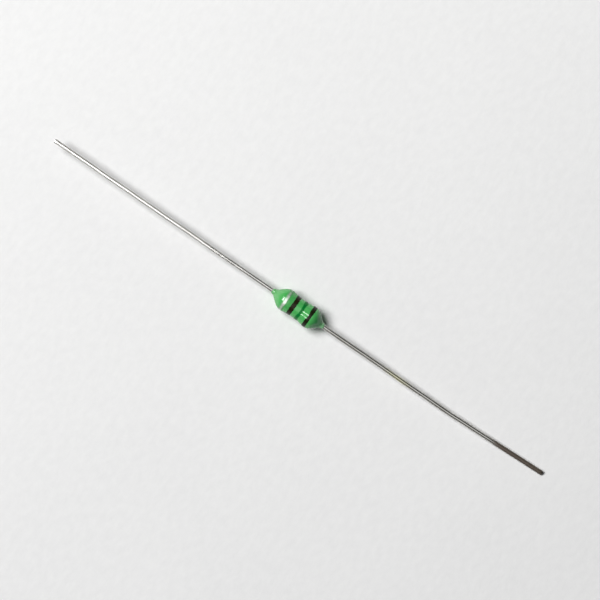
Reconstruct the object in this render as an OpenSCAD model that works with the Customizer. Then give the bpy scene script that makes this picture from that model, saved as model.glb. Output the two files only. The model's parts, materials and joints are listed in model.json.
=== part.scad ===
// Axial leaded inductor: a copper coil on a ferrite drum core, with a wire lead glued into
// each end of the core, dipped in epoxy and marked with four painted colour bands.
// Its axis lies along X, the first-digit band is on the +X side, and it lies on Z = 0.

/* [Leads] */
// Diameter of each lead wire
lead_d = 0.5; // [0.4:0.05:0.6]
// Length of each lead beyond the coated body
lead_len = 28.2; // [24:0.1:32]
// Straight stretch of each lead beside the body, before its first bend
exit_run = 0.5; // [0.3:0.1:2]
// How much a bend's knuckle stands out over the wire
knuckle = 0.005; // [0.003:0.001:0.01]
// Upward lean of the left lead, in degrees
left_lean = 0.9; // [0.2:0.1:1.5]
// Sideways lean of the left lead, in degrees
left_sway = 1; // [0:0.1:1.2]
// Sideways lean of the right lead up to its kink, in degrees
right_sway = 0.9; // [0:0.1:1.2]
// Distance from the body's end to the sideways kink in the right lead
kink_run = 16.6; // [10:0.1:20]
// Angle of that kink, in degrees
kink_a = 1.8; // [0.5:0.1:3]

/* [Ferrite core] */
// Length of the drum core over both flanges
core_len = 3.8; // [3.6:0.1:4.2]
// Diameter of the flanges
flange_d = 2; // [1.8:0.1:2.2]
// Thickness of each flange
flange_t = 0.8; // [0.6:0.05:0.9]
// Diameter of the waist that carries the coil
waist_d = 1.1; // [1:0.05:1.2]
// Width of the broken edges on the flanges
edge_break = 0.06; // [0.02:0.01:0.12]
// Depth of the socket for the lead in each end
socket_depth = 0.5; // [0.3:0.05:0.7]
// Width of the slot through which the coil's wire leaves each flange
slot_w = 0.14; // [0.1:0.01:0.2]

/* [Coil] */
// Outer diameter of the enamelled copper wire
wire_d = 0.06; // [0.05:0.005:0.08]
// Space between one turn and the next
turn_gap = 0.004; // [0.002:0.001:0.02]
// Turns of the wire's end round each lead
wrap_turns = 2; // [1:1:3]
// Radius of the corners where the wire turns from one direction to another
corner_r = 0.1; // [0.06:0.01:0.14]

/* [Joints of adhesive and solder] */
// Thickness of the adhesive between the lead and its socket
glue_t = 0.1; // [0.05:0.01:0.14]
// How far the adhesive laps over the core's end round the socket
glue_lap = 0.08; // [0.04:0.01:0.1]
// Height of the adhesive bead outside the core's end
glue_bead = 0.12; // [0.06:0.01:0.16]
// Height of the bead's edge
glue_rim = 0.02; // [0.01:0.005:0.04]
// Bare lead between the adhesive bead and the solder
solder_gap = 0.04; // [0.02:0.01:0.08]
// Thickness of the solder over the wrapped wire
solder_t = 0.07; // [0.04:0.01:0.1]
// Length over which the solder tapers off at each end
solder_taper = 0.1; // [0.06:0.01:0.14]
// Film left between pieces that are bonded to each other
bond_gap = 0.01; // [0.006:0.001:0.012]

/* [Epoxy coat] */
// Thickness of the coat over the core's flanges
coat_t = 0.25; // [0.2:0.01:0.35]
// Depth of the coat's waist below its two bulges
waist_dip = 0.13; // [0.05:0.01:0.2]
// Length of the even stretch in the middle of the waist
waist_flat = 0.6; // [0.2:0.1:1]
// Length of the coat's tapered end beyond each end of the core
taper_len = 1.4; // [1.2:0.1:1.8]
// Skew of the taper: a higher value makes its shoulder fuller
taper_skew = 1.25; // [1:0.05:1.5]
// Thickness to which the coat runs out on the lead
tip_t = 0.03; // [0.02:0.005:0.06]

/* [Colour bands] */
// Thickness of the paint
paint_t = 0.02; // [0.01:0.005:0.04]
// Width of the silver tolerance band
tolerance_w = 0.46; // [0.3:0.01:0.6]
// Width of the multiplier band
multiplier_w = 0.5; // [0.3:0.01:0.6]
// Width of the second-digit band
second_w = 0.4; // [0.3:0.01:0.6]
// Width of the first-digit band
first_w = 0.45; // [0.3:0.01:0.6]
// Offset of the tolerance band from the crest of its bulge, towards the left tip
tolerance_shift = 0.1; // [0:0.01:0.15]
// Offset of the first-digit band from the crest of its bulge, towards the middle
first_shift = 0.05; // [0:0.01:0.15]
// Offset of the second-digit band from even spacing, towards the middle
second_shift = 0.05; // [0:0.01:0.1]

/* [Hidden] */
$fn = 64;
lead_r = lead_d / 2;
wire_r = wire_d / 2;
bore_r = lead_r + bond_gap;
core_end = core_len / 2;
coil_space = core_end - flange_t;
body_end = core_end + taper_len;

// Coat outline
crest_x = core_end - flange_t / 2;
crest_r = flange_d / 2 + coat_t;
tip_r = lead_r + tip_t;
outline_steps = 72;
axis_z = crest_r + bond_gap + paint_t;

// Path of the coil's wire: the slant brings it from the core's end down to the lead
channel_r = wire_r + bond_gap;
slant_len = glue_bead + solder_gap + solder_taper + channel_r;
coil_steps = 14;
wire_sides = 6;
corner_steps = 3;
chord_factor = 1 / cos(180 / coil_steps);
coil_r = waist_d / 2 * chord_factor + wire_r + bond_gap;
wrap_r = lead_r * chord_factor + wire_r + bond_gap;
coil_end = coil_space - corner_r;
turns = floor(2 * coil_end / (wire_d + turn_gap));
wrap_pitch = wire_d + turn_gap;
wrap_start = core_end + slant_len;
wrap_end = wrap_start + corner_r + wrap_turns * wrap_pitch;

// Groove for the wraps inside the solder
groove_start = wrap_start - channel_r;
groove_end = wrap_end + channel_r;
groove_r = wrap_r + channel_r;
solder_r = groove_r + solder_t;

// The right lead leans down until its tip lies on the same plane as the body
socket_r = lead_r + glue_t;
lead_in = core_end - socket_depth + bond_gap;
lead_drop = axis_z - lead_r;
lean_reach = lead_len - exit_run;
right_lean = asin(lead_drop / lean_reach);

// Bands
tolerance_x = -crest_x - tolerance_shift;
first_x = crest_x - first_shift;
band_pitch = (first_x - tolerance_x) / 3;
multiplier_x = tolerance_x + band_pitch;
second_x = first_x - band_pitch - second_shift;

// Radius of the coat at x: a waist between two bulges, and bell-shaped ends
function coat_r(x) =
    let (d = abs(x),
         rise = max(0, d - waist_flat / 2) / (crest_x - waist_flat / 2),
         fall = min(1, max(0, d - crest_x) / (body_end - crest_x)))
    d < crest_x
        ? crest_r - waist_dip * (1 + cos(180 * rise)) / 2
        : tip_r + (crest_r - tip_r) * (1 + cos(180 * pow(fall, taper_skew))) / 2;

function steps_between(from, to, count) = [for (i = [0:count]) from + (to - from) * i / count];

module along_x() rotate([0, 90, 0]) children();
module on_axis() translate([0, 0, axis_z]) children();
module turned(outline) along_x() rotate_extrude() polygon(outline);

// Half-outline of the drum, with its neck at neck_r and all its faces moved out by grow
function drum_outline(neck_r, grow) =
    let (rim = flange_d / 2 + grow,
         face = core_end + grow,
         cheek = coil_space - grow)
    [[0, -face], [rim - edge_break, -face], [rim, edge_break - face], [rim, -cheek - edge_break],
     [rim - edge_break, -cheek], [neck_r, -cheek], [neck_r, cheek], [rim - edge_break, cheek],
     [rim, cheek + edge_break], [rim, face - edge_break], [rim - edge_break, face], [0, face]];

module ferrite_core() {
    color("dimgray") on_axis() difference() {
        turned(drum_outline(waist_d / 2, 0));
        for (side = [-1, 1]) {
            translate([side * (core_end - socket_depth / 2), 0, 0]) along_x()
                cylinder(h = socket_depth, r = socket_r, center = true);
            translate([side * core_end - flange_t, coil_r - channel_r, -slot_w / 2])
                cube([2 * flange_t, flange_d / 2, slot_w]);
        }
    }
}

// The wire's path is a list of [x, radius, angle] round the axis. The left end runs from
// its wraps on the lead, up the slant and through the flange's slot to the first turn.
wrap_turn_in = corner_r / wrap_r * 180 / PI;
coil_turn_in = corner_r / coil_r * 180 / PI;
left_end = concat(
    [for (i = [0:wrap_turns * coil_steps])
        [wrap_pitch * i / coil_steps - wrap_end, wrap_r,
         360 * (i / coil_steps - wrap_turns) - wrap_turn_in]],
    [for (a = steps_between(0, 90, corner_steps)) if (a > 0)
        [corner_r * (1 - cos(a)) - wrap_start - corner_r, wrap_r, wrap_turn_in * (sin(a) - 1)]],
    [for (x = steps_between(-core_end, -coil_space, 2)) [x, coil_r, 0]],
    [for (a = steps_between(0, 90, corner_steps)) if (a > 0)
        [corner_r * sin(a) - coil_space, coil_r, coil_turn_in * (1 - cos(a))]]);
coil_count = turns * coil_steps;
coil_path = concat(
    left_end,
    [for (i = [1:coil_count - 1])
        [coil_end * (2 * i / coil_count - 1), coil_r,
         coil_turn_in + (360 * turns - 2 * coil_turn_in) * i / coil_count]],
    [for (i = [len(left_end) - 1:-1:0])
        [-left_end[i][0], left_end[i][1], 360 * turns - left_end[i][2]]]);

function unit(v) = v / norm(v);
function around(p) = [p[0], p[1] * cos(p[2]), p[1] * sin(p[2])];
function outward(p) = [0, cos(p[2]), sin(p[2])];

// Ring of points round the wire at step i of a path
function wire_ring(path, i) =
    let (before = around(path[max(i - 1, 0)]),
         after = around(path[min(i + 1, len(path) - 1)]),
         along = unit(after - before),
         up = outward(path[i]),
         across = unit(up - (up * along) * along),
         side = cross(along, across))
    [for (k = [0:wire_sides - 1])
        around(path[i]) + wire_r * (across * cos(360 * k / wire_sides)
                                    + side * sin(360 * k / wire_sides))];

module coil_winding() {
    last = len(coil_path) - 1;
    points = [for (i = [0:last]) each wire_ring(coil_path, i)];
    faces = concat(
        [[for (k = [0:wire_sides - 1]) k]],
        [for (i = [0:last - 1], k = [0:wire_sides - 1])
            let (a = i * wire_sides + k,
                 b = i * wire_sides + (k + 1) % wire_sides)
            each [[a, a + wire_sides, b + wire_sides], [a, b + wire_sides, b]]],
        [[for (k = [wire_sides - 1:-1:0]) last * wire_sides + k]]);
    color("peru") on_axis() polyhedron(points, faces);
}

// A round wire along +X. Each step is a straight length and the turn that follows it, with
// a knuckle at the knee between two lengths.
module wire_run(steps, i = 0) {
    straight = steps[i][0];
    turn = steps[i][1];
    along_x() cylinder(h = straight, r = lead_r);
    if (i < len(steps) - 1)
        translate([straight, 0, 0]) {
            sphere(r = lead_r + knuckle);
            rotate(turn) wire_run(steps, i + 1);
        }
}

module lead_left() {
    color("silver") on_axis() rotate([0, 0, 180]) translate([lead_in, 0, 0])
        wire_run([[body_end + exit_run - lead_in, [0, -left_lean, left_sway]], [lean_reach, [0, 0, 0]]]);
}

module lead_right() {
    color("silver") on_axis() translate([lead_in, 0, 0])
        wire_run([[body_end + exit_run - lead_in, [0, right_lean, right_sway]],
                  [kink_run - exit_run, [0, 0, kink_a]],
                  [lead_len - kink_run, [0, 0, 0]]]);
}

// Adhesive in one socket, with its bead on the core's end
module adhesive(side, grow = 0) {
    outer_r = socket_r - bond_gap + grow;
    bottom = core_end - socket_depth + bond_gap;
    face = core_end + bond_gap - grow;
    bead_r = socket_r + glue_lap + grow;
    foot_r = bore_r + tip_t + grow;
    top = core_end + glue_bead + grow;
    mirror([side < 0 ? 1 : 0, 0, 0])
        turned([[bore_r, bottom], [outer_r, bottom], [outer_r, face], [bead_r, face],
                [bead_r, core_end + bond_gap + glue_rim], [foot_r, top], [bore_r, top]]);
}

module adhesive_left() color("khaki") on_axis() adhesive(-1);
module adhesive_right() color("khaki") on_axis() adhesive(1);

// Straight channel that the slanting wire runs in, from the flange's slot to the lead
module wire_channel(side) {
    slant = [slant_len, wrap_r - coil_r];
    mirror([side < 0 ? 1 : 0, 0, 0])
        translate([core_end, coil_r, 0]) rotate([0, 0, atan2(slant[1], slant[0])])
            translate([-channel_r, 0, 0]) along_x() cylinder(h = norm(slant) + channel_r, r = channel_r);
}

// Outside of the solder round one lead
module solder_bead(side, grow = 0) {
    inner = groove_start - solder_taper - grow;
    outer = groove_end + solder_taper + grow;
    foot_r = bore_r + tip_t + grow;
    mirror([side < 0 ? 1 : 0, 0, 0])
        turned([[bore_r, inner], [foot_r, inner], [solder_r + grow, groove_start],
                [solder_r + grow, groove_end], [foot_r, outer], [bore_r, outer]]);
}

module solder(side) {
    color("lightgray") on_axis() difference() {
        solder_bead(side);
        translate([side * (groove_start + groove_end) / 2, 0, 0]) along_x()
            cylinder(h = groove_end - groove_start, r = groove_r, center = true);
        wire_channel(side);
    }
}

module solder_left() solder(-1);
module solder_right() solder(1);

module epoxy_coat() {
    stations = steps_between(-body_end, body_end, outline_steps);
    color("mediumseagreen") on_axis() difference() {
        turned(concat([[0, -body_end]], [for (x = stations) [coat_r(x), x]], [[0, body_end]]));
        turned(drum_outline(coil_r + channel_r, bond_gap));
        along_x() cylinder(h = 3 * body_end, r = bore_r, center = true);
        for (side = [-1, 1]) {
            adhesive(side, bond_gap);
            solder_bead(side, bond_gap);
            wire_channel(side);
        }
    }
}

// Painted ring on the coat, centred at x
module band(x, w) {
    stations = steps_between(x - w / 2, x + w / 2, 6);
    inside = [for (s = stations) [coat_r(s) + bond_gap, s]];
    outside = [for (i = [len(stations) - 1:-1:0]) inside[i] + [paint_t, 0]];
    on_axis() turned(concat(inside, outside));
}

module band_tolerance() color("darkgray") band(tolerance_x, tolerance_w);
module band_multiplier() color("#2b2415") band(multiplier_x, multiplier_w);
module band_second_digit() color("#0b7336") band(second_x, second_w);
module band_first_digit() color("#2b2415") band(first_x, first_w);

ferrite_core();
coil_winding();
lead_left();
lead_right();
adhesive_left();
adhesive_right();
solder_left();
solder_right();
epoxy_coat();
band_tolerance();
band_multiplier();
band_second_digit();
band_first_digit();
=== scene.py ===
import json
import math
import bpy
from mathutils import Matrix, Vector


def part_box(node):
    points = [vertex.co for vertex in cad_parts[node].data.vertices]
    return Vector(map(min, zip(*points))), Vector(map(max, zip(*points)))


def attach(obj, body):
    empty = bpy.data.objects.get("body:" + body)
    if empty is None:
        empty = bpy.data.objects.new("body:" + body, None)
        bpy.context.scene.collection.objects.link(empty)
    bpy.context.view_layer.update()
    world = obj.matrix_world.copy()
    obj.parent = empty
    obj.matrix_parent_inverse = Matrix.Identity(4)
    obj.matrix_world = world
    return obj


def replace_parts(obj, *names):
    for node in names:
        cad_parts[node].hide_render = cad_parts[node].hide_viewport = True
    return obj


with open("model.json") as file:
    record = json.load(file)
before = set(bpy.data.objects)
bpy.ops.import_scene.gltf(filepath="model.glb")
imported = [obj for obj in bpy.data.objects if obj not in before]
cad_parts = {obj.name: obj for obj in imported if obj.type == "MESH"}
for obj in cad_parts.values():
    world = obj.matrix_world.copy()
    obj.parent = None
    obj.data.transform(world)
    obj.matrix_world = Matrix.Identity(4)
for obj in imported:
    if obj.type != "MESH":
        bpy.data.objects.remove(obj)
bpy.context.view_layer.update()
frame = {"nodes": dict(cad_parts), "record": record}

mm = 0.001
fullTurn = 2 * math.pi
seamGap = 0.0001 * mm  # points nearer than this are merged


# a Math node as a method of a socket; reflected is for a value on the left, as in 1 - mask
def operation(kind, reflected=False):
    def apply(first, *others):
        values = (*others, first) if reflected else (first, *others)
        return first.graph.math(kind, *values)
    return apply


# wraps a node's socket, so that sums on sockets read as sums
class Wire:
    __add__ = operation("ADD")
    __radd__ = operation("ADD", reflected=True)
    __sub__ = operation("SUBTRACT")
    __rsub__ = operation("SUBTRACT", reflected=True)
    __mul__ = operation("MULTIPLY")
    __rmul__ = operation("MULTIPLY", reflected=True)
    __truediv__ = operation("DIVIDE")
    __rtruediv__ = operation("DIVIDE", reflected=True)
    __pow__ = operation("POWER")
    __rpow__ = operation("POWER", reflected=True)
    __gt__ = operation("GREATER_THAN")
    __lt__ = operation("LESS_THAN")
    __abs__ = operation("ABSOLUTE")
    cos = operation("COSINE")
    sin = operation("SINE")
    atMost = operation("MINIMUM")
    atLeast = operation("MAXIMUM")
    rounded = operation("ROUND")

    def __init__(self, graph, socket):
        self.graph = graph
        self.socket = socket

    def unit(self):  # held between 0 and 1
        return self.atMost(1.0).atLeast(0.0)

    def ramp(self, low, high):  # 0 up to low, 1 from high on, smooth between
        return self.graph.add("ShaderNodeMapRange", {"interpolation_type": "SMOOTHSTEP"},
                              {"Value": self, "From Min": low, "From Max": high})

    def out(self, name):  # another output of the same node
        return Wire(self.graph, pick(self.socket.node.outputs, name))


def pick(sockets, name):  # by number, by identifier, or by the name of one that is in use
    if isinstance(name, int):
        return sockets[name]
    for socket in sockets:
        if socket.identifier == name:
            return socket
    return next(socket for socket in sockets if socket.name == name and socket.enabled)


# adds nodes to a tree
class Graph:
    def __init__(self, tree):
        self.tree = tree
        tree.nodes.clear()

    def add(self, kind, settings=None, sockets=None, result=0):  # a list links each of its items
        node = self.tree.nodes.new(kind)
        for name, value in (settings or {}).items():
            setattr(node, name, value)
        for name, value in (sockets or {}).items():
            socket = pick(node.inputs, name)
            for item in value if isinstance(value, list) else [value]:
                if isinstance(item, Wire):
                    self.tree.links.new(item.socket, socket)
                else:
                    socket.default_value = item
        return Wire(self, pick(node.outputs, result)) if node.outputs else node

    def math(self, kind, *values):
        return self.add("ShaderNodeMath", {"operation": kind}, dict(enumerate(values)))

    def vectorMath(self, kind, *values, result=0):
        return self.add("ShaderNodeVectorMath", {"operation": kind}, dict(enumerate(values)), result)

    def vector(self, x=0.0, y=0.0, z=0.0):
        return self.add("ShaderNodeCombineXYZ", {}, {"X": x, "Y": y, "Z": z})

    def split(self, vector):
        x = self.add("ShaderNodeSeparateXYZ", {}, {"Vector": vector}, "X")
        return x, x.out("Y"), x.out("Z")

    def noise(self, vector, scale, detail=2.0, roughness=0.5):
        return self.add("ShaderNodeTexNoise", {}, {"Vector": vector, "Scale": scale,
                                                   "Detail": detail, "Roughness": roughness})

    def mix(self, share, first, second):  # colours
        return self.add("ShaderNodeMix", {"data_type": "RGBA"},
                        {"Factor_Float": share, "A_Color": first, "B_Color": second}, "Result_Color")


# sizes that the frame gives
coatLow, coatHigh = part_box("epoxy_coat")
bodyEnd = coatHigh.x
axisHeight = (coatLow.z + coatHigh.z) / 2
crestRadius = (coatHigh.z - coatLow.z) / 2
mounts = {mount["name"]: mount for mount in frame["record"]["mounts"]}
wireRadius = mounts["lead_left_pin"]["dims"]["r_mm"] * mm


def rgb(red, green, blue):
    return (red, green, blue, 1.0)


def newMaterial(name, shader, look):
    material = bpy.data.materials.new(name)
    material.use_nodes = True
    graph = Graph(material.node_tree)
    place = graph.add("ShaderNodeTexCoord", {}, {}, "Object")
    graph.add("ShaderNodeOutputMaterial", {}, {"Surface": shader(graph, place, look)})
    return material


def seen(graph):  # 1 where the camera looks, straight or by way of gloss or glass, so not as light
    path = graph.add("ShaderNodeLightPath", {}, {}, "Is Camera Ray")
    return (path + path.out("Is Glossy Ray") + path.out("Is Transmission Ray")).unit()


def principled(graph, **sockets):
    names = {name.replace("_", " "): value for name, value in sockets.items()}
    return graph.add("ShaderNodeBsdfPrincipled", {}, names)


def bump(graph, height, strength, distance):
    return graph.add("ShaderNodeBump", {}, {"Height": height, "Strength": strength,
                                            "Distance": distance})


epoxyLook = {
    "deep": rgb(0.068, 0.425, 0.096),
    "pale": rgb(0.104, 0.505, 0.136),
    "mottle": 1300.0,
    "fine": 9000.0,
    "waves": 2600.0,
    "ripple": 0.12,
    "gloss": 0.7,
    # painted light and shade towards the wires, and from and to how far out along X: the left end
    # paler as if lit, the right end darker as if shaded
    "leftThin": rgb(0.145, 0.440, 0.155),
    "leftThins": (1.9 * mm, 2.9 * mm),
    "rightThin": rgb(0.026, 0.190, 0.062),
    "rightThins": (1.8 * mm, 2.5 * mm),
    "rightTip": rgb(0.24, 0.52, 0.26),  # a painted highlight where the coat meets the right wire
    "rightTipThins": (2.8 * mm, 3.1 * mm),
}


def epoxyShader(graph, place, look):
    mottle = graph.noise(place, look["mottle"], 3.0).ramp(0.3, 0.75)
    fine = graph.noise(place, look["fine"])
    ripple = bump(graph, graph.noise(place, look["waves"]), look["ripple"], 0.02 * mm)
    x, y, z = graph.split(place)
    coat = graph.mix(mottle * 0.5 + fine * 0.2, look["deep"], look["pale"])
    # painted light on the left end, painted shade on the right end and a painted highlight at the
    # right tip
    for outward, reach, thin in ((0 - x, "leftThins", "leftThin"), (x, "rightThins", "rightThin"),
                                 (x, "rightTipThins", "rightTip")):
        coat = graph.mix(outward.ramp(*look[reach]) * 0.8, coat, look[thin])
    return principled(graph, Base_Color=coat, Roughness=0.07 + fine * 0.06, Normal=ripple,
                      Specular_IOR_Level=look["gloss"])


# paints: "full" where the film is thick and "thin" where it is patchy or worn at its edges
silverLook = {
    "full": rgb(0.64, 0.70, 0.63),
    "thin": rgb(0.13, 0.37, 0.15),
    "patch": 1700.0,
    "patchiness": 1.2,
    "wear": 0.5,
    "rubbed": 0.12,  # painted shade: how much darker the band is drawn on the +Y side, and from and to how far out
    "rubs": (0.5 * mm, 0.9 * mm),
    "roughness": 0.52,
    "metal": 0.9,
    "gloss": 0.5,
}
brownLook = {
    "full": rgb(0.018, 0.015, 0.005),
    "thin": rgb(0.005, 0.011, 0.002),
    "patch": 2200.0,
    "patchiness": 0.3,
    "wear": 1.25,
    "roughness": 0.22,
    "gloss": 0.2,
}
blackLook = {**brownLook, "full": rgb(0.010, 0.014, 0.004)}
darkGreenLook = {
    "full": rgb(0.003, 0.185, 0.027),
    "thin": rgb(0.018, 0.250, 0.062),
    "patch": 1500.0,
    "patchiness": 0.75,
    "wear": 0.5,
    "roughness": 0.15,
    "gloss": 0.22,
}


def paintShader(graph, place, look):
    patch = graph.noise(place, look["patch"], 4.0, 0.6)
    edge = graph.add("ShaderNodeAttribute", {"attribute_name": "bandEdge"}, {}, "Fac")
    thin = patch * look["patchiness"] + edge ** 2 * look["wear"]
    # painted shade: the band is drawn thinner and darker towards its +Y side
    if "rubbed" in look:
        x, y, z = graph.split(place)
        thin = thin + y.ramp(*look["rubs"]) * look["rubbed"]
    thin = thin.ramp(0.5, 1.0)
    metal = look["metal"] * (1 - thin * 0.6) if "metal" in look else 0.0
    ripple = bump(graph, graph.noise(place, 4200.0, 3.0), 0.2, 0.01 * mm)
    return principled(graph, Base_Color=graph.mix(thin, look["full"], look["thin"]),
                      Roughness=look["roughness"] + patch * 0.12, Metallic=metal, Normal=ripple,
                      Specular_IOR_Level=look["gloss"])


wireLook = {
    "tin": rgb(0.72, 0.71, 0.68),
    "dull": rgb(0.41, 0.40, 0.37),  # darker grey: random dull patches on both wires, and painted shade along the right wire
    "dulls": (2 * mm, 5 * mm),
    "straw": rgb(0.72, 0.70, 0.42),  # a yellow tint halfway along the right wire
    "strawAt": 12.8 * mm,
    "strawReach": 2.0 * mm,
    "stain": rgb(0.140, 0.114, 0.092),  # partly tarnish and partly painted shade, darkening the right wire's end
    "stains": (22.5 * mm, 28.0 * mm),
    "scuffs": (5 * mm, 16 * mm),  # the left wire shines less towards its tip
    "drawLines": 0.08,
}


def tinShader(graph, place, look):
    x, y, z = graph.split(place)
    streak = graph.noise(graph.vector(x * 0.06, y, z), 9000.0, 3.0, 0.6)
    cloud = graph.noise(graph.vector(x * 0.4, y, z), 1500.0, 3.0)
    # random dull patches on both wires, plus painted shade along the right wire from about 2 to 5 mm
    # out
    dull = (cloud.ramp(0.35, 0.8) * 0.35 + x.ramp(*look["dulls"]) * 0.65).unit()
    tin = graph.mix(dull, look["tin"], look["dull"])
    scuffed = (0 - x).ramp(*look["scuffs"])
    straw = (1 - abs(x - look["strawAt"]) / look["strawReach"]).unit() * cloud.ramp(0.3, 0.6) * 0.7
    # partly tarnish and partly painted shade towards the right wire's end
    stain = (x.ramp(*look["stains"]) * 1.3 + cloud - 0.75).ramp(0.0, 0.8)
    colour = graph.mix(stain, graph.mix(straw, tin, look["straw"]), look["stain"])
    return principled(graph, Base_Color=colour, Metallic=1.0 - 0.35 * stain,
                      Roughness=0.13 + streak * 0.08 + stain * 0.20 + scuffed * 0.17,
                      Normal=bump(graph, streak, look["drawLines"], 0.006 * mm))


def plainShader(graph, place, look):
    cloud = graph.noise(place, look["scale"], 3.0)
    return principled(graph, Base_Color=graph.mix(cloud, look["one"], look["other"]),
                      Metallic=look["metal"], Roughness=look["roughness"] + cloud * 0.1,
                      Normal=bump(graph, cloud, 0.3, 0.01 * mm))


paperLook = {
    "valley": rgb(0.850, 0.850, 0.850),
    "ridge": rgb(0.950, 0.950, 0.945),
    "grain": 1400.0,
    "drift": 100 * mm,  # painted light: the sheet grows a little paler towards -X and +Y
    "farGlow": rgb(0.50, 0.50, 0.50),  # keeps the sheet pale to look at where the lamps fall off
    "fars": (70 * mm, 600 * mm),
    "half": 600 * mm,  # of the sheet's width
}


def paperShader(graph, place, look):
    x, y, z = graph.split(place)
    grain = graph.noise(graph.vector(x, y * 0.6, z), look["grain"], 4.0, 0.65)
    cloud = graph.noise(place, 60.0)
    # painted light: the sheet is drawn paler towards -X and +Y
    drift = (y * 0.8 - x * 0.6) / look["drift"]
    far = ((x * x + y * y) ** 0.5).ramp(*look["fars"])
    share = (grain * 1.1 + cloud * 0.4 + drift - 0.25).unit()
    return principled(graph, Base_Color=graph.mix(share, look["valley"], look["ridge"]),
                      Roughness=0.9, Normal=bump(graph, grain, 0.5, 0.05 * mm),
                      Emission_Color=graph.mix(seen(graph) * far, rgb(0, 0, 0), look["farGlow"]),
                      Emission_Strength=1.0)


epoxy = newMaterial("greenEpoxy", epoxyShader, epoxyLook)
silverPaint = newMaterial("silverPaint", paintShader, silverLook)
brownPaint = newMaterial("darkBrownPaint", paintShader, brownLook)
blackPaint = newMaterial("blackBrownPaint", paintShader, blackLook)
darkGreenPaint = newMaterial("darkGreenPaint", paintShader, darkGreenLook)
tinnedWire = newMaterial("tinnedWire", tinShader, wireLook)
paper = newMaterial("palePaper", paperShader, paperLook)

# the pieces inside the coat stay as the frame has them, each with its own finish
innerFinish = {
    "blackFerrite": {"nodes": ["ferrite_core"],
                     "one": rgb(0.035, 0.035, 0.038), "other": rgb(0.07, 0.07, 0.075),
                     "scale": 9000.0, "roughness": 0.5, "metal": 0.0},
    "enamelledCopper": {"nodes": ["coil_winding"],
                        "one": rgb(0.52, 0.16, 0.05), "other": rgb(0.68, 0.27, 0.09),
                        "scale": 4000.0, "roughness": 0.2, "metal": 1.0},
    "amberAdhesive": {"nodes": ["adhesive_left", "adhesive_right"],
                      "one": rgb(0.52, 0.38, 0.13), "other": rgb(0.66, 0.52, 0.22),
                      "scale": 3000.0, "roughness": 0.2, "metal": 0.0},
    "tinSolder": {"nodes": ["solder_left", "solder_right"],
                  "one": rgb(0.60, 0.60, 0.59), "other": rgb(0.74, 0.74, 0.73),
                  "scale": 5000.0, "roughness": 0.25, "metal": 1.0},
}


def finishInside():
    for name, look in innerFinish.items():
        material = newMaterial(name, plainShader, look)
        for node in look["nodes"]:
            materials = frame["nodes"][node].data.materials
            materials.clear()
            materials.append(material)
    print("inner finishes:", len(innerFinish))


finishInside()

socketKinds = {float: "NodeSocketFloat", tuple: "NodeSocketVector"}


def newTree(name, inputs):
    tree = bpy.data.node_groups.new(name, "GeometryNodeTree")
    tree.interface.new_socket("Geometry", in_out="INPUT", socket_type="NodeSocketGeometry")
    for label, value in inputs.items():
        tree.interface.new_socket(label, in_out="INPUT", socket_type=socketKinds[type(value)])
    tree.interface.new_socket("Geometry", in_out="OUTPUT", socket_type="NodeSocketGeometry")
    graph = Graph(tree)
    entry = graph.add("NodeGroupInput")
    return graph, entry, {label: entry.out(label) for label in inputs}


def closeTree(graph, geometry, material):
    smooth = graph.add("GeometryNodeSetShadeSmooth", {}, {0: geometry})
    real = graph.add("GeometryNodeRealizeInstances", {}, {0: smooth})
    painted = graph.add("GeometryNodeSetMaterial", {}, {"Geometry": real, "Material": material})
    graph.add("NodeGroupOutput", {}, {0: painted})


def pathMesh(name, points):  # one edge from each point to the next
    mesh = bpy.data.meshes.new(name)
    mesh.from_pydata([tuple(p) for p in points], [(i, i + 1) for i in range(len(points) - 1)], [])
    return mesh


# runs a tree on the base mesh and keeps the result as a plain mesh in the node's place
def grow(name, graph, inputs, base, node):
    piece = bpy.data.objects.new(name, base)
    bpy.context.scene.collection.objects.link(piece)
    modifier = piece.modifiers.new("grow", "NODES")
    modifier.node_group = graph.tree
    for item in graph.tree.interface.items_tree:
        if item.name in inputs:
            modifier[item.identifier] = inputs[item.name]
    evaluated = piece.evaluated_get(bpy.context.evaluated_depsgraph_get())
    grown = bpy.data.meshes.new_from_object(evaluated)
    piece.modifiers.remove(modifier)
    piece.data = grown
    grown.name = name
    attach(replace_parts(piece, node), "root")
    print(name + ":", len(grown.polygons), "faces")


# a sheet to roll into a tube: u runs from -0.5 to 0.5 along it, the angle goes round it
def sheetGrid(graph, columns, around):
    grid = graph.add("GeometryNodeMeshGrid", {}, {"Size X": 1.0, "Size Y": 1.0, "Vertices X": columns,
                                                  "Vertices Y": around + 1}, "Mesh")
    u, v, flat = graph.split(graph.add("GeometryNodeInputPosition"))
    return grid, u, v * -fullTurn


def atEnds(u):  # 1 in the sheet's first and last columns
    return abs(u) > 0.4999


def wrapped(graph, grid, x, radius, angle):  # the sheet, rolled round the body's axis
    place = graph.vector(x, radius * angle.cos(), radius * angle.sin() + axisHeight)
    return graph.add("GeometryNodeSetPosition", {}, {"Geometry": grid, "Position": place})


# dipped coat: a waist between two bulges, and bell-shaped ends that creep up the wires
coatForm = {
    "waistDip": 0.13 * mm,
    "waistFlat": 0.42 * mm,   # half of the even stretch
    "crestAt": 1.50 * mm,
    "taperSkew": 1.25,
    "tipFilm": 0.016 * mm,
    "creep": 0.12 * mm,       # how far the film runs on along each wire
    "creepScale": 700.0,
    "creepFilm": 0.004 * mm,  # the film's thickness where it ends
    "bead": 0.035 * mm,       # low ring where the resin drew back and set
    "beadReach": 0.16 * mm,
    "lumps": 0.022 * mm,
    "lumpScale": 900.0,
    "columns": 260,
    "around": 144,
}
cavity = {
    "flange": 0.80 * mm,
    "neck": 0.644 * mm,
    "gap": 0.01 * mm,
    "closeRun": 0.08 * mm,  # its last stretch, where it closes on the film's edge
}


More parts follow.
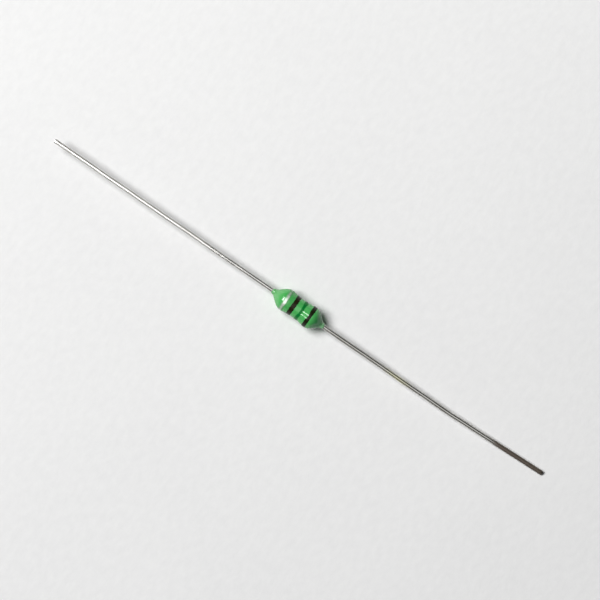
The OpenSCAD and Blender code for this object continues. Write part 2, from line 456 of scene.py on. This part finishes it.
def coatEnd(graph, right, angle):  # how far out the film ends, at this angle and on this side
    spot = graph.vector(right * 9 * mm, angle.cos() * mm, angle.sin() * mm)
    return bodyEnd + coatForm["creep"] * (graph.noise(spot, coatForm["creepScale"], 0.0) * 2 - 0.5)


def coatRadius(graph, x, end, angle):
    form = coatForm
    spot = graph.vector(x * 0.8, angle.cos() * mm, angle.sin() * mm)
    lump = graph.noise(spot, form["lumpScale"], 1.0) - 0.5
    far = abs(x)
    rise = ((far - form["waistFlat"]) / (form["crestAt"] - form["waistFlat"])).unit()
    fall = ((far - form["crestAt"]) / (end - form["crestAt"])).unit()
    dip = form["waistDip"] * ((rise * math.pi).cos() + 1) / 2
    bell = (((fall ** form["taperSkew"]) * math.pi).cos() + 1) / 2
    bead = (1 - abs((end - far) / form["beadReach"] - 1)).ramp(0.0, 1.0) * form["bead"]
    tip = wireRadius + form["tipFilm"]
    return tip + bead + (crestRadius - tip) * bell - dip + lump * form["lumps"] * bell.ramp(0.0, 0.3)


def cavityOutline():  # half of the hollow that holds the core, the beads and the wires: X, radius
    gap = cavity["gap"]
    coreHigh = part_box("ferrite_core")[1]
    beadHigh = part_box("adhesive_right")[1]
    solderLow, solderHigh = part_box("solder_right")
    face = coreHigh.x + gap
    cheek = coreHigh.x - cavity["flange"] - gap
    rim = coreHigh.y + gap
    bore = wireRadius + gap / 2
    return [(0, cavity["neck"]), (cheek, cavity["neck"]), (cheek, rim), (face, rim),
            (face, beadHigh.y + gap), (beadHigh.x + gap, bore + gap), (solderLow.x - gap, bore + gap),
            (solderLow.x - gap, solderHigh.y + gap), (solderHigh.x + gap, solderHigh.y + gap),
            (solderHigh.x + gap, bore), (bodyEnd - cavity["closeRun"], bore), (bodyEnd, bore)]


def buildCoat():
    form = coatForm
    sizes = {"Creep Film": form["creepFilm"]}
    graph, entry, inputs = newTree("coatTree", sizes)
    filmRadius = wireRadius + inputs["Creep Film"]
    grid, u, angle = sheetGrid(graph, form["columns"], form["around"])
    end = coatEnd(graph, u > 0.0, angle)
    x = u * 2 * end
    rim = atEnds(u)  # the last ring closes on the wire
    radius = coatRadius(graph, x, end, angle)
    outer = wrapped(graph, grid, x, radius * (1 - rim) + filmRadius * rim, angle)

    half = cavityOutline()
    outline = [(-x, r) for x, r in reversed(half)] + half[1:]
    last = len(outline) - 1
    inGrid, inU, inAngle = sheetGrid(graph, last + 1, form["around"])
    corner = graph.add("GeometryNodeSampleIndex", {"data_type": "FLOAT_VECTOR"}, {
        "Geometry": entry, "Value": graph.add("GeometryNodeInputPosition"),
        "Index": ((inU + 0.5) * last).rounded()})
    cornerX, cornerR, flat = graph.split(corner)
    inRim = atEnds(inU)
    inEnd = coatEnd(graph, inU > 0.0, inAngle) * inU * 2
    inner = wrapped(graph, inGrid, cornerX * (1 - inRim) + inEnd * inRim,
                    cornerR * (1 - inRim) + filmRadius * inRim, inAngle)
    flipped = graph.add("GeometryNodeFlipFaces", {}, {0: inner})
    joined = graph.add("GeometryNodeJoinGeometry", {}, {0: [outer, flipped]})
    merged = graph.add("GeometryNodeMergeByDistance", {}, {0: joined, "Distance": seamGap})
    closeTree(graph, merged, epoxy)
    base = pathMesh("cavityOutline", [(x, r, 0) for x, r in outline])
    grow("epoxyCoat", graph, sizes, base, "epoxy_coat")


buildCoat()


# painted bands: thin films that follow the coat, with edges that wander a little
bandForm = {
    "film": 0.018 * mm,
    "sunk": 0.015 * mm,  # the hidden underside lies this far inside the coat
    "wanderScale": 1100.0,
    "seedStep": 7 * mm,  # so that a band's two edges wander apart
    "steps": 28,
    "around": 160,
}
# lean moves the +Y side of a band towards +X, and pinch narrows it along its top, where the sine
# of the angle is past pinchFrom; wander, lean and pinch are in mm
bands = {
    "toleranceBand": {"node": "band_tolerance", "slot": "silver_paint", "finish": silverPaint,
                      "wander": 0.06, "lean": 0.0, "pinch": 0.0, "pinchFrom": 0.7, "seed": 3.0},
    "multiplierBand": {"node": "band_multiplier", "slot": "dark_brown_paint", "finish": brownPaint,
                       "wander": 0.03, "lean": 0.0, "pinch": 0.0, "pinchFrom": 0.7, "seed": 11.0},
    "secondDigitBand": {"node": "band_second_digit", "slot": "dark_green_paint",
                        "finish": darkGreenPaint, "wander": 0.05, "lean": 0.02, "pinch": 0.10,
                        "pinchFrom": 0.7, "seed": 23.0},
    "firstDigitBand": {"node": "band_first_digit", "slot": "dark_brown_paint", "finish": blackPaint,
                       "wander": 0.03, "lean": 0.0, "pinch": 0.09, "pinchFrom": 0.93, "seed": 31.0},
}


def buildBand(name, band):
    form = bandForm
    sizes = {"Centre": 0.0, "Width": 0.0, "Wander": band["wander"] * mm, "Lean": band["lean"] * mm,
             "Pinch": band["pinch"] * mm, "Pinch From": band["pinchFrom"], "Seed": band["seed"]}
    graph, entry, inputs = newTree(name + "Tree", sizes)
    grid, u, angle = sheetGrid(graph, form["steps"] * 2 + 1, form["around"])
    top = u > 0.0  # half of the columns make the top of the film, the others its underside
    side = (u * 4 - 1) * top - (u * 4 + 1) * (1 - top)  # -1 at the left edge, 1 at the right one
    across = 1 - abs(side)
    cosine, sine = angle.cos(), angle.sin()
    spot = graph.vector(cosine * mm, sine * mm, inputs["Seed"] * mm)
    otherSpot = graph.vector(cosine * mm, sine * mm, inputs["Seed"] * mm + form["seedStep"])
    wobble = (graph.noise(spot, form["wanderScale"]) * (1 - side)
              + graph.noise(otherSpot, form["wanderScale"]) * (1 + side) - 1)
    pinch = sine.ramp(inputs["Pinch From"], 1.0) * inputs["Pinch"]
    x = (inputs["Centre"] + side * (inputs["Width"] - pinch) / 2 + pinch * 0.3
         + wobble * inputs["Wander"] + cosine * inputs["Lean"])
    lift = (across * 5).unit() ** 0.5 * form["film"]  # rounded edges, level over most of the width
    height = lift * top - form["sunk"] * (1 - top) * (across > 0.001)
    end = coatEnd(graph, x > 0.0, angle)
    marked = graph.add("GeometryNodeStoreNamedAttribute", {"data_type": "FLOAT", "domain": "POINT"},
                       {"Geometry": grid, "Name": "bandEdge", "Value": 1 - across})
    film = wrapped(graph, marked, x, coatRadius(graph, x, end, angle) + height, angle)
    merged = graph.add("GeometryNodeMergeByDistance", {}, {0: film, "Distance": seamGap})
    closeTree(graph, merged, band["finish"])
    low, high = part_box(band["node"])
    sizes["Centre"] = (low.x + high.x) / 2
    sizes["Width"] = high.x - low.x
    grow(name, graph, sizes, bpy.data.meshes.new(name), band["node"])


for name, band in bands.items():
    buildBand(name, band)


# leads: drawn wire along a path with soft knees, and a tip left by the cutters
leadForm = {
    "kneeRadius": 3.0 * mm,
    "kneeSteps": 8,
    "step": 0.06 * mm,
    "around": 32,
    "wander": 0.05 * mm,
    "wanderScale": 170.0,
    "wanderStarts": (4 * mm, 9 * mm),   # clear of the coat
    "wanderStops": (24 * mm, 31 * mm),  # before the tip
    "snipLength": 0.20 * mm,
    "exitRun": 0.5 * mm,
    "mountInset": 1.0 * mm,
}
# snipLeaves is the share of the thickness that the cutters left at the tip, along snipAcross
leads = {
    "leadLeft": {"node": "lead_left", "mount": "lead_left_pin", "side": -1, "kinked": False,
                 "snipAcross": (0.0, 0.3, 1.0), "snipLeaves": 0.85},
    "leadRight": {"node": "lead_right", "mount": "lead_right_pin", "side": 1, "kinked": True,
                  "snipAcross": (0.0, 0.4, -1.0), "snipLeaves": 0.55},
}


def buildLead(name, lead):
    form = leadForm
    mount = mounts[lead["mount"]]
    side = lead["side"]
    axis = Vector(mount["axis"])
    tip = Vector(mount["pos_m"]) + axis * form["mountInset"]
    low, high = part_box(lead["node"])
    points = [Vector((low.x if side > 0 else high.x, 0, axisHeight)),
              Vector((side * (bodyEnd + form["exitRun"]), 0, axisHeight))]
    if lead["kinked"]:
        points.append(tip - axis * mount["dims"]["length_mm"] * mm)
    points.append(tip)
    across = Vector(lead["snipAcross"])
    across = (across - axis * across.dot(axis)).normalized()

    sizes = {"Radius": wireRadius, "Wander": form["wander"], "Tip": tuple(tip),
             "Tip Axis": tuple(axis), "Snip Across": tuple(across),
             "Snip Length": form["snipLength"], "Snip Leaves": lead["snipLeaves"]}
    graph, entry, inputs = newTree(name + "Tree", sizes)
    path = graph.add("GeometryNodeMeshToCurve", {}, {0: entry})
    bent = graph.add("GeometryNodeFilletCurve", {"mode": "POLY"}, {
        "Curve": path, "Radius": form["kneeRadius"], "Count": form["kneeSteps"], "Limit Radius": True})
    even = graph.add("GeometryNodeResampleCurve", {"mode": "LENGTH"}, {"Curve": bent,
                                                                      "Length": form["step"]})
    place = graph.add("GeometryNodeInputPosition")
    x, y, z = graph.split(place)
    free = abs(x).ramp(*form["wanderStarts"]) * (1 - abs(x).ramp(*form["wanderStops"]))
    sway = (graph.noise(graph.vector(x), form["wanderScale"], 1.0) - 0.5) * inputs["Wander"] * free * 2
    swayed = graph.add("GeometryNodeSetPosition", {}, {"Geometry": even,
                                                       "Offset": graph.vector(0.0, sway)})
    ring = graph.add("GeometryNodeCurvePrimitiveCircle", {}, {"Resolution": form["around"],
                                                              "Radius": inputs["Radius"]})
    tube = graph.add("GeometryNodeCurveToMesh", {}, {"Curve": swayed, "Profile Curve": ring,
                                                     "Fill Caps": True})
    offset = graph.vectorMath("SUBTRACT", place, inputs["Tip"])
    back = graph.vectorMath("DOT_PRODUCT", offset, inputs["Tip Axis"], result="Value") * -1
    depth = graph.vectorMath("DOT_PRODUCT", offset, inputs["Snip Across"], result="Value")
    cut = (1 - back / inputs["Snip Length"]).unit() * (1 - inputs["Snip Leaves"])
    move = graph.add("ShaderNodeVectorMath", {"operation": "SCALE"},
                     {0: inputs["Snip Across"], "Scale": depth * cut * -1})
    snipped = graph.add("GeometryNodeSetPosition", {}, {"Geometry": tube, "Offset": move})
    closeTree(graph, snipped, tinnedWire)
    grow(name, graph, sizes, pathMesh(name + "Path", points), lead["node"])


for name, lead in leads.items():
    buildLead(name, lead)


view = {
    "turn": 35.5,  # degrees about the vertical
    "width": 64.0 * mm,
    "height": 250.0 * mm,
    "right": 0.18 * mm,  # the middle of the view, from the body's middle
    "up": 0.93 * mm,
    "sensor": 36,
    "near": 10 * mm,
    "far": 10000 * mm,
}
room = {
    "light": 0.045,
    "seen": 0.80,  # how pale the room behind the sheet looks, to the camera and in gloss
    "horizon": (0.12, 0.16),  # sine of the height up to which it is pale, and from which it isn't
}
# share of the light on the paper, lean towards -X and tilt towards -Y in degrees, size in mm;
# the cards show in gloss only
lamps = {
    "window": {"share": 0.94, "distance": 750 * mm, "lean": 34, "tilt": 5, "size": (270, 460)},
    "skyCard": {"share": 0.075, "distance": 300 * mm, "lean": 4.0, "tilt": 7, "size": (68, 310)},
    "ceilingCard": {"share": 0.085, "distance": 300 * mm, "lean": -10, "tilt": 7, "size": (80, 310)},
    "highCard": {"share": 0.13, "distance": 260 * mm, "lean": 15.5, "tilt": -6, "size": (60, 50)},
    "lowCard": {"share": 0.12, "distance": 260 * mm, "lean": 15.5, "tilt": 29, "size": (60, 54)},
}


def aimed(right, back):  # columns: local X, Y and Z
    right = (right - back * right.dot(back)).normalized()
    return Matrix((right, back.cross(right), back)).transposed().to_4x4()


def placed(name, data, place, right, back):  # a lamp or a camera, which looks away from back
    thing = bpy.data.objects.new(name, data)
    thing.matrix_world = Matrix.Translation(place) @ aimed(right, back)
    bpy.context.scene.collection.objects.link(thing)
    return thing


def buildSheet():
    half = paperLook["half"]
    mesh = bpy.data.meshes.new("paperSheet")
    mesh.from_pydata([(-half, -half, 0), (half, -half, 0), (half, half, 0), (-half, half, 0)], [],
                     [(0, 1, 2, 3)])
    mesh.materials.append(paper)
    sheet = bpy.data.objects.new("paperSheet", mesh)
    bpy.context.scene.collection.objects.link(sheet)


def buildCamera():
    turn = math.radians(view["turn"])
    right = Vector((math.cos(turn), math.sin(turn), 0))
    up = Vector((-math.sin(turn), math.cos(turn), 0))
    back = Vector((0, 0, 1))
    camera = bpy.data.cameras.new("overhead")
    camera.sensor_width = view["sensor"]
    camera.lens = view["sensor"] * (view["height"] - axisHeight) / view["width"]
    camera.clip_start, camera.clip_end = view["near"], view["far"]
    place = right * view["right"] + up * view["up"] + back * view["height"]
    bpy.context.scene.camera = placed("overhead", camera, place, right, back)
    bpy.context.scene.view_settings.view_transform = "Standard"


def buildLamp(name, plan):
    towards = Vector((-math.tan(math.radians(plan["lean"])), -math.tan(math.radians(plan["tilt"])),
                      1)).normalized()
    lamp = bpy.data.lights.new(name, "AREA")
    lamp.shape = "RECTANGLE"
    lamp.size, lamp.size_y = plan["size"][0] * mm, plan["size"][1] * mm
    # lights white paper to its share, from any distance
    lamp.energy = plan["share"] * math.pi ** 2 * plan["distance"] ** 2 / towards.z
    hung = placed(name, lamp, towards * plan["distance"], Vector((1, 0, 0)), towards)
    hung.visible_camera = False
    hung.visible_diffuse = not name.endswith("Card")


def buildRoom():
    world = bpy.data.worlds.new("room")
    world.use_nodes = True
    sky = Graph(world.node_tree)
    x, y, z = sky.split(sky.add("ShaderNodeTexCoord", {}, {}, "Generated"))
    low = 1 - z.ramp(*room["horizon"])
    strength = room["light"] + seen(sky) * low * (room["seen"] - room["light"])
    glow = sky.add("ShaderNodeBackground", {}, {"Color": rgb(1, 1, 1), "Strength": strength})
    sky.add("ShaderNodeOutputWorld", {}, {"Surface": glow})
    bpy.context.scene.world = world


buildSheet()
buildCamera()
for name, plan in lamps.items():
    buildLamp(name, plan)
buildRoom()
print("studio:", len(lamps), "lamps")
